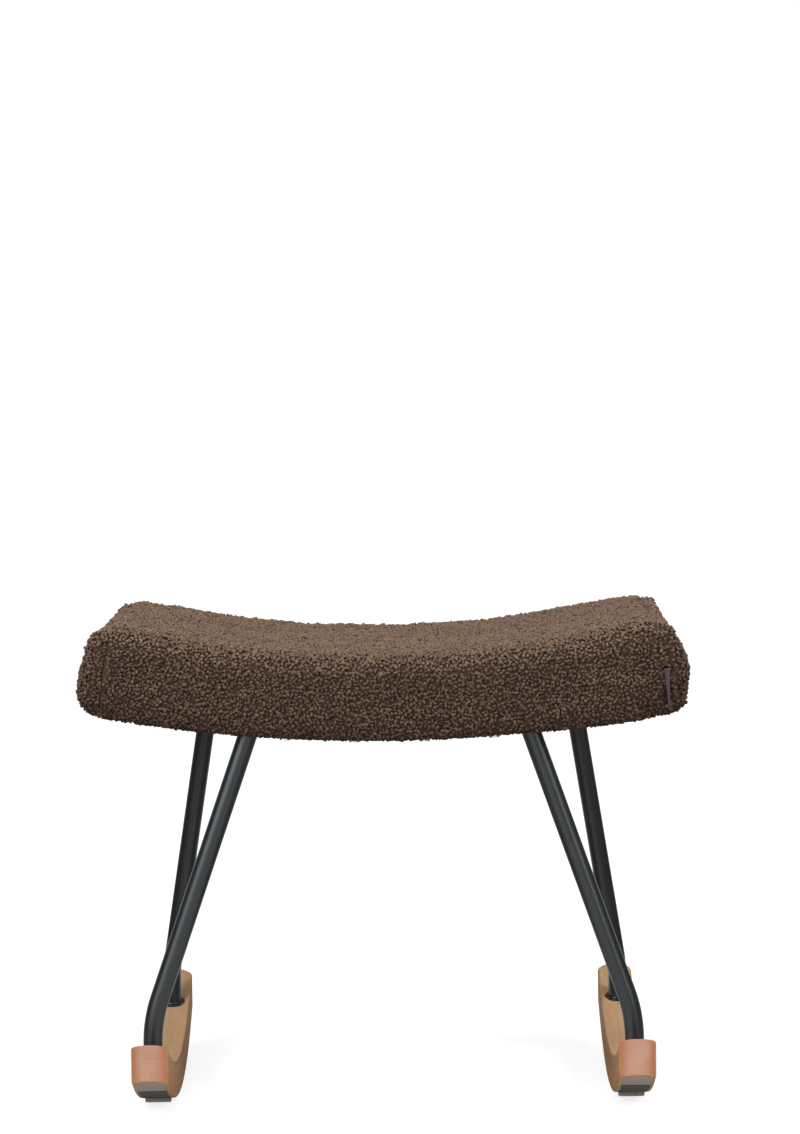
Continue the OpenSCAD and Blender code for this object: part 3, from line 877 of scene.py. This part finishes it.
def curls_mesh(name, rings, roots, cloth, tone):
    """One mesh of closed curls, with tone, one number a curl, and tip, how high in the pile a point is, lowered as
    painted shade on the cushion's sides and more so underneath.
    """
    pile = settings("pile")
    count, each = len(rings), RINGS * SIDES
    quads = [(r + s, r + (s + 1) % SIDES, r + SIDES + (s + 1) % SIDES, r + SIDES + s)
             for r in range(0, each - SIDES, SIDES) for s in range(SIDES)]
    quads.append(tuple(range(SIDES - 1, -1, -1)))
    quads.append(tuple(range(each - SIDES, each)))
    faces = np.array(quads)[None] + np.arange(count)[:, None, None] * each
    inward = curl_hand(rings) < 0
    faces[inward] = faces[inward][:, :, ::-1]
    faces = faces.reshape(-1, 4)
    mesh = bpy.data.meshes.new(name)
    mesh.vertices.add(count * each)
    mesh.vertices.foreach_set("co", rings.astype(np.float32).ravel())
    mesh.loops.add(faces.size)
    mesh.loops.foreach_set("vertex_index", faces.astype(np.int32).ravel())
    mesh.polygons.add(len(faces))
    mesh.polygons.foreach_set("loop_start", (np.arange(len(faces)) * 4).astype(np.int32))
    mesh.update(calc_edges=True)
    mesh.validate()
    height = np.einsum("nrsk,nk->nrs", rings - roots[:, None, None], cloth).reshape(-1)
    full = pile.lift + 0.6 * pile.tuft_height + pile.wire
    # How high in the pile a point is sets the painted shade towards the roots.
    tip = np.clip((height + 0.4 * pile.wire) / full, 0, 1) ** 1.15
    upward = cloth[:, 2]
    # Painted shade: curls on the cushion's front, back and ends are darker than on its top, and darker still on its
    # underside.
    tip *= np.repeat(0.62 + 0.38 * smooth_step(upward, 0.0, 0.65) - 0.20 * smooth_step(-upward, 0.0, 0.45), each)
    set_numbers(mesh, tone=np.repeat(tone, each), tip=tip)
    own_map(mesh, count)
    return new_object(name, mesh)


def curl_hand(rings):
    """The sign of each curl's volume with its faces in their first order."""
    a, b = rings[:, 1, 0], rings[:, 1, 1]
    c = rings[:, 2, 1]
    middle = rings[:, 1:3].mean((1, 2))
    outward = (a + b + c) / 3 - middle
    return np.sign(np.einsum("ni,ni->n", np.cross(b - a, c - a), outward))


def own_map(mesh, count):
    """A UV map with a small square for each curl, laid out as its lock unrolled."""
    across = math.ceil(math.sqrt(count))
    rows = RINGS - 1
    corner = []
    for r in range(rows):
        for s in range(SIDES):
            u0, u1, v0, v1 = r / rows, (r + 1) / rows, s / SIDES, (s + 1) / SIDES
            corner.append(((u0, v0), (u0, v1), (u1, v1), (u1, v0)))
    tiny = 0.5 / rows
    corner.append(((0, 0), (0, tiny), (tiny, tiny), (tiny, 0)))
    corner.append(((1 - tiny, 0), (1, 0), (1, tiny), (1 - tiny, tiny)))
    cells = np.stack([np.arange(count) % across, np.arange(count) // across], 1)
    uv = (cells[:, None, None] + 0.06 + 0.88 * np.array(corner)[None]) / across
    layer = mesh.uv_layers.new(name="OFBake")
    layer.data.foreach_set("uv", uv.astype(np.float32).ravel())


class FOOTSTOOL_OT_pile(bpy.types.Operator):
    """Covers the cushion with curls, but for its front seams, the tag's place and the dust cloth."""

    bl_idname = "footstool.pile"
    bl_label = "Curly pile"

    def execute(self, context):
        pile = settings("pile")
        rng = np.random.RandomState(pile.seed)
        points, normals = scatter(bpy.data.objects["curly_cushion"], pile.spacing, rng)
        flat = unbend(points)
        in_window = is_under(flat) & (to_hem(flat) > -3 * MM)
        on_seam = (np.abs(np.abs(flat[:, 0]) - seam_runs()) < 1.2 * MM) & (np.abs(normals[:, 2] - 0.15) < 0.35)
        wanted = ~(in_window | on_seam | near_tag(points, normals, 3 * MM))
        roots, normals = points[wanted], normals[wanted]
        places, facing, tone, tuft = curl_places(roots, normals, rng)
        deep = roots - normals * tuft_rise(tuft)[:, None]
        rings = curl_rings(places, facing, rng)
        to_right, back, up = normals.T
        top, under = up > 0.55, up < -0.6
        ends = ~top & ~under & (np.abs(to_right) > np.abs(back))
        sides = ~(top | under | ends)
        part = np.clip(((unbend(roots)[:, 0] / seam_runs() + 1) * 3).astype(int), 0, 5)
        regions = {"pile_under": under, "pile_end_left": ends & (to_right < 0),
                   "pile_end_right": ends & (to_right > 0)}
        for number in range(6):
            regions[f"pile_top_{number + 1}"] = top & (part == number)
        for label, half in (("left", part < 3), ("right", part > 2)):
            regions["pile_front_" + label] = sides & (back < 0) & half
            regions["pile_back_" + label] = sides & (back > 0) & half
        for name, chosen in regions.items():
            if not chosen.any():
                raise RuntimeError(f"no curls for {name}")
            made = curls_mesh(name, rings[chosen], deep[chosen], normals[chosen], tone[chosen])
            keep(made, "curly_wool")
        return {"FINISHED"}


class FOOTSTOOL_OT_dust_cloth(bpy.types.Operator):
    """Makes the thin cloth under the board, puckered a little between its staples."""

    bl_idname = "footstool.dust_cloth"
    bl_label = "Dust cloth"

    def execute(self, context):
        half_run, half_depth = window_half()
        cloth = primitive("dust_cloth_sheet", bpy.ops.mesh.primitive_grid_add,
                          x_subdivisions=150, y_subdivisions=102, size=2)
        flat = points_of(cloth) * (half_run, half_depth, 0.0)
        pull = np.exp(-np.clip(to_hem(flat), 0, 1) / 0.014)
        ripple = np.cos(flat[:, :2] * 2 * math.pi / settings("trim").staple_step).prod(1)
        sag = waves(flat, 0.11, 8, 2) * 0.12 * MM + ripple * pull * 0.16 * MM
        flat[:, 2] = flat_height(DUST_LOW.z) + 0.55 * MM + np.clip(sag, -0.2 * MM, 0.2 * MM)
        set_points(cloth, bend_down(flat))
        apply_modifier(cloth, "SOLIDIFY", thickness=0.3 * MM, offset=1.0)
        keep(cloth, "nonwoven_cloth")
        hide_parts("dust_cloth")
        return {"FINISHED"}


class FOOTSTOOL_OT_side_tag(bpy.types.Operator):
    """Folds the ribbon that stands out of the right front corner seam."""

    bl_idname = "footstool.side_tag"
    bl_label = "Side tag"

    def execute(self, context):
        tall = TAG_HIGH.z - TAG_LOW.z
        tag = primitive("side_tag_ribbon", bpy.ops.mesh.primitive_grid_add,
                        x_subdivisions=22, y_subdivisions=16, size=2)
        run, up = (points_of(tag)[:, :2].T + 1) / 2
        out, inside = TAG_LOW.y - 1.2 * MM, TAG_HIGH.y - 1.5 * MM
        leg_share = 0.36
        open_half = (0.9 + 1.6 * up ** 1.6) * MM
        turn = np.clip((run - leg_share) / (1 - 2 * leg_share), 0, 1) * math.pi
        leg = np.clip(np.minimum(run, 1 - run) / leg_share, 0, 1)
        x = TAG_X - np.cos(turn) * open_half * (0.35 + 0.65 * leg) + (up - 0.5) * -1.8 * MM
        y = inside + (out + open_half - inside) * leg - np.sin(turn) * open_half
        z = TAG_LOW.z + up * tall + np.sin(run * math.pi) * (0.4 * MM)
        set_points(tag, np.stack([x, y, z], 1))
        apply_modifier(tag, "SOLIDIFY", thickness=0.45 * MM, offset=0.0)
        apply_modifier(tag, "SUBSURF", levels=1, render_levels=1)
        keep(tag, "satin_ribbon")
        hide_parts("side_tag")
        return {"FINISHED"}


def on_underside(points, side, gap):
    """Lays flat points, x across and y along, on the underside of a rocker, z standing off it."""
    roll = settings("trim").roll_radius
    angle = np.arcsin(np.clip(points[:, 1] / roll, -1, 1))
    radius = roll + gap + points[:, 2]
    return np.stack([side * ROCKER_MIDDLE + points[:, 0], radius * np.sin(angle), roll - radius * np.cos(angle)], 1)


class FOOTSTOOL_OT_foil_plates(bpy.types.Operator):
    """Sticks a blank foil plate under the nose of each rocker."""

    bl_idname = "footstool.foil_plates"
    bl_label = "Foil plates"

    def execute(self, context):
        trim = settings("trim")
        nose, strips = 7 * MM, 24
        front = ROCKER_LOW.y + nose + trim.foil_gap
        for side, name in ((-1, "foil_plate_left"), (1, "foil_plate_right")):
            plate = primitive(name, bpy.ops.mesh.primitive_plane_add, size=1,
                              location=(0, front + trim.foil_length / 2, 0))
            plate.scale = (trim.foil_width, trim.foil_length, 1)
            settle(plate)
            bpy.ops.object.mode_set(mode="EDIT")
            select_in(plate, "verts", lambda v: True)
            bpy.ops.mesh.bevel(offset=2.5 * MM, segments=5, affect="VERTICES")
            for strip in range(1, strips):
                bpy.ops.mesh.select_all(action="SELECT")
                bpy.ops.mesh.bisect(plane_co=(0, front + trim.foil_length * strip / strips, 0), plane_no=(0, 1, 0))
            bpy.ops.object.mode_set(mode="OBJECT")
            points = points_of(plate)
            points[:, 2] = waves(points, 0.03, 20 + side, 2) * 0.05 * MM
            set_points(plate, on_underside(points, side, 0.12 * MM))
            apply_modifier(plate, "SOLIDIFY", thickness=trim.foil_thickness, offset=0.0)
            keep(plate, "blank_foil")
            bpy.ops.object.shade_smooth_by_angle(angle=math.radians(40))
        return {"FINISHED"}


def ring_of(name):
    """Outer ring of a leg's top, where it meets its rail: its turns and points in order, and its middle."""
    points = points_of(frame["nodes"][name])
    reach = saddle_axis() - RAIL_LOW.z
    bore_radius = 8.4 * MM
    top = points[np.abs(np.hypot(points[:, 0], saddle_axis() - points[:, 2]) - reach) < 0.06 * MM]
    if len(top) < 12:
        raise RuntimeError(f"{name} has no ring at its rail")
    middle = (top.max(0) + top.min(0)) / 2
    outer = top[np.linalg.norm(top - middle, axis=1) > bore_radius]
    turn = np.arctan2(outer[:, 1] - middle[1], outer[:, 0] - middle[0])
    order = np.argsort(turn)
    return turn[order], outer[order], middle


class FOOTSTOOL_OT_weld_beads(bpy.types.Operator):
    """Lays a rippled weld bead round the top of each leg."""

    bl_idname = "footstool.weld_beads"
    bl_label = "Weld beads"

    def execute(self, context):
        thin, ripples = 0.25, 22
        for name in LEGS:
            turns, outer, middle = ring_of(name)
            bead = primitive("weld_" + name, bpy.ops.mesh.primitive_torus_add, major_segments=120,
                             minor_segments=10, major_radius=1.0, minor_radius=thin)
            points = points_of(bead)
            angle = np.arctan2(points[:, 1], points[:, 0])
            out = (np.hypot(points[:, 0], points[:, 1]) - 1.0) / thin
            down = points[:, 2] / thin
            at = np.stack([np.interp(angle, turns, outer[:, i], period=2 * math.pi) for i in range(3)], 1)
            away = unit(at - middle)
            radial = unit(at * (1.0, 0.0, 1.0) - (0.0, 0.0, saddle_axis()))
            ripple = 1 + 0.14 * np.sin(angle * ripples + 0.8 * np.sin(3 * angle))
            size = settings("trim").bead * ripple[:, None]
            set_points(bead, at + (away * out[:, None] + radial * down[:, None]) * size)
            face = bead.data.polygons[0]
            if face.normal.dot(Vector(face.center) - Vector(at[0])) < 0:
                bead.data.flip_normals()
            keep(bead, "powder_coat")
        return {"FINISHED"}


def staple_places():
    """Places and turns of the staples, flat: along both ends, the front, and the rear beside its rail."""
    step = settings("trim").staple_step
    half_run, half_depth = window_half()
    inset, corner = 2.6 * MM, 20 * MM
    rail_end = RAIL_HIGH.x + 10 * MM
    found = []
    count = int(2 * (half_run - corner) / step)
    for i in range(count + 1):
        x = (i - count / 2) * step
        found.append((x, inset - half_depth, 0.0))
        if abs(x) > rail_end:
            found.append((x, half_depth - inset, 0.0))
    count = int(2 * (half_depth - corner) / step)
    for i in range(count + 1):
        y = (i - count / 2) * step
        found += [(inset - half_run, y, math.pi / 2), (half_run - inset, y, math.pi / 2)]
    return found


class FOOTSTOOL_OT_staples(bpy.types.Operator):
    """Staples the dust cloth down all round."""

    bl_idname = "footstool.staples"
    bl_label = "Staples"

    def execute(self, context):
        trim = settings("trim")
        rng = np.random.RandomState(4)
        staple = primitive("staples", bpy.ops.mesh.primitive_cube_add, size=1)
        staple.scale = (trim.staple_length, 1.3 * trim.staple_wire, trim.staple_wire)
        settle(staple)
        bpy.ops.object.mode_set(mode="EDIT")
        select_in(staple, "edges", lambda e: all(v.co.z < 0 for v in e.verts))
        bpy.ops.mesh.bevel(offset=0.35 * trim.staple_wire, segments=2, affect="EDGES")
        bpy.ops.object.mode_set(mode="OBJECT")
        one = points_of(staple)
        faces = [list(f.vertices) for f in staple.data.polygons]
        low = flat_height(DUST_LOW.z) - 0.1 * MM
        points, quads = [], []
        for x, y, turn in staple_places():
            spin = np.array(Matrix.Rotation(-turn - rng.uniform(-0.16, 0.16), 3, "Z"))
            quads += [[i + len(points) * len(one) for i in face] for face in faces]
            points.append(bend_down(one @ spin + (x + rng.uniform(-3, 3) * MM, y, low)))
        staple.data = bpy.data.meshes.new("staples")
        staple.data.from_pydata(np.concatenate(points).tolist(), [], quads)
        keep(staple, "zinc_plate")
        bpy.ops.object.shade_smooth_by_angle(angle=math.radians(35))
        return {"FINISHED"}


class FOOTSTOOL_OT_frame_finishes(bpy.types.Operator):
    """Makes every material and gives the frame's own pieces theirs."""

    bl_idname = "footstool.frame_finishes"
    bl_label = "Finishes of the frame"

    def execute(self, context):
        for make in (curly_fabric, rocker_wood, black_steel, zinc, pad_rubber, plywood, dust_cloth_finish,
                     ribbon_finish, foil_finish):
            make()
        slots = {s["node"]: s["material_slot"] for s in frame["record"]["subparts"]}
        worn = {"rocker_wood": "clear_beech", "black_steel": "powder_coat", "plug_steel": "zinc_plate",
                "zinc_fasteners": "zinc_plate", "pad_rubber": "taupe_rubber", "plywood": "bent_plywood"}
        for name, node in frame["nodes"].items():
            if slots[name] in worn:
                dress(node, worn[slots[name]])
        return {"FINISHED"}


def camera_turn():
    """Rotation of the camera from its yaw, pitch and roll."""
    stage = settings("stage")
    ahead = Vector((math.sin(stage.yaw) * math.cos(stage.pitch), math.cos(stage.yaw) * math.cos(stage.pitch),
                    -math.sin(stage.pitch)))
    right = Vector((math.cos(stage.yaw), -math.sin(stage.yaw), 0))
    up = right.cross(ahead)
    cos_r, sin_r = math.cos(stage.roll), math.sin(stage.roll)
    right, up = cos_r * right + sin_r * up, cos_r * up - sin_r * right
    return Matrix((right, up, -ahead)).transposed()


def lamp(name, power, width, height, place, aim=0.25):
    """A soft lamp that faces the stool at this height."""
    data = bpy.data.lights.new(name, "AREA")
    data.shape = "RECTANGLE"
    data.energy, data.size, data.size_y = power, width, height
    obj = new_object(name, data)
    obj.location = place
    obj.rotation_euler = (Vector((0, 0, aim)) - Vector(place)).to_track_quat("-Z", "Y").to_euler()
    return obj


def seen_mask(tree, ahead):
    """1 for what the camera sees itself, or in gloss ahead and behind, or through glass, else 0."""
    camera = tree.node("ShaderNodeLightPath", output="Is Camera Ray")
    gloss, glass = tree.also(camera, "Is Glossy Ray", "Is Transmission Ray")
    return tree.math("MAXIMUM", tree.math("MAXIMUM", camera, gloss * ahead), glass)


class FOOTSTOOL_OT_stage(bpy.types.Operator):
    """Makes the floor, the camera, the lamps and the world."""

    bl_idname = "footstool.stage"
    bl_label = "Stage"

    def execute(self, context):
        stage = settings("stage")
        context.scene.view_settings.view_transform = "Standard"
        camera = new_object("camera", bpy.data.cameras.new("camera"))
        camera.location = (stage.camera_x, stage.camera_y, stage.camera_z)
        camera.rotation_mode = "QUATERNION"
        camera.rotation_quaternion = camera_turn().to_quaternion()
        camera.data.sensor_width = 36.0
        camera.data.lens = stage.lens
        camera.data.clip_end = 60.0
        context.scene.camera = camera

        floor = primitive("floor", bpy.ops.mesh.primitive_plane_add, size=stage.floor_size)
        paint = Finish("pale_floor", Base_Color=stage.floor_colour, Roughness=0.9, Specular_IOR_Level=0.05,
                       Emission_Strength=1.0)
        x, y, _ = paint.parts(paint.point())
        reach = (x * x + y * y) ** 0.5
        glow = paint.mix(paint.step(reach, 0.5, 1.7), (0.80, 0.80, 0.80), (1.0, 1.0, 1.0))
        ahead = paint.step(abs(y) / (reach + 0.001), 0.72, 0.93)
        paint.set(Emission_Color=paint.mix(seen_mask(paint, ahead), (0.0, 0.0, 0.0), glow))
        dress(floor, "pale_floor")

        lamp("key lamp", stage.key_power, 1.7, 1.7, (-0.15, -0.75, 2.75), aim=0.35)
        lamp("left lamp", stage.left_power, 0.6, 1.0, (-1.6, -2.2, 1.65))
        lamp("right lamp", stage.right_power, 0.6, 1.0, (2.15, -1.2, 1.65))
        lamp("front lamp", stage.front_power, 0.8, 0.8, (0.0, -3.0, 1.1)).visible_glossy = False
        strips = (lamp("left strip", stage.gloss_power, 2.8, 1.6, (-1.9, -2.45, 0.9)),
                  lamp("right strip", 0.4 * stage.gloss_power, 1.2, 1.6, (2.05, -2.2, 0.9)))
        dark = bpy.data.collections.new("legs that the strips leave dark")
        for name in LEGS[2:]:
            dark.objects.link(frame["nodes"][name])
        for strip in strips:
            strip.visible_diffuse = False
            strip.data.color = (0.84, 0.94, 1.0)
            strip.light_linking.receiver_collection = dark
        for member in dark.collection_objects:
            member.light_linking.link_state = "EXCLUDE"

        context.scene.world = bpy.data.worlds.new("studio")
        air = Tree(context.scene.world)
        ahead = air.node("ShaderNodeMapRange", None, {
            "Value": air.parts(air.point("Generated"))[1], "From Min": 0.6, "From Max": 0.9})
        strength = air.node("ShaderNodeMapRange", None, {"Value": seen_mask(air, ahead), "To Min": stage.fill})
        air.join(strength, air.nodes["Background"].inputs["Strength"])
        air.join((1.0, 1.0, 1.0), air.nodes["Background"].inputs["Color"])
        return {"FINISHED"}


class FOOTSTOOL_PT_panel(bpy.types.Panel):
    """Lists the steps that build the footstool."""

    bl_idname = "FOOTSTOOL_PT_panel"
    bl_label = "Rocking footstool"
    bl_space_type = "VIEW_3D"
    bl_region_type = "UI"
    bl_category = "Footstool"

    def draw(self, context):
        for step in STEPS:
            self.layout.operator(step.bl_idname)
        for name in GROUPS:
            box = self.layout.box()
            group = settings(name)
            for key in group.bl_rna.properties.keys():
                if key not in ("rna_type", "name"):
                    box.prop(group, key)


STEPS = (FOOTSTOOL_OT_stage, FOOTSTOOL_OT_frame_finishes, FOOTSTOOL_OT_cushion, FOOTSTOOL_OT_pile,
         FOOTSTOOL_OT_dust_cloth, FOOTSTOOL_OT_side_tag, FOOTSTOOL_OT_foil_plates, FOOTSTOOL_OT_weld_beads,
         FOOTSTOOL_OT_staples)
GROUPS = {"stage": StageSettings, "seat": SeatSettings, "pile": PileSettings, "trim": TrimSettings,
          "finishes": FinishSettings}


def register():
    for made in (*GROUPS.values(), *STEPS, FOOTSTOOL_PT_panel):
        bpy.utils.register_class(made)
    for name, group in GROUPS.items():
        setattr(bpy.types.Scene, "footstool_" + name, PointerProperty(type=group))


def unregister():
    for name in GROUPS:
        delattr(bpy.types.Scene, "footstool_" + name)
    for made in (FOOTSTOOL_PT_panel, *reversed(STEPS), *reversed(GROUPS.values())):
        bpy.utils.unregister_class(made)


def main():
    register()
    for step in STEPS:
        getattr(bpy.ops.footstool, step.bl_idname.split(".")[1])()


if __name__ == "__main__":
    main()
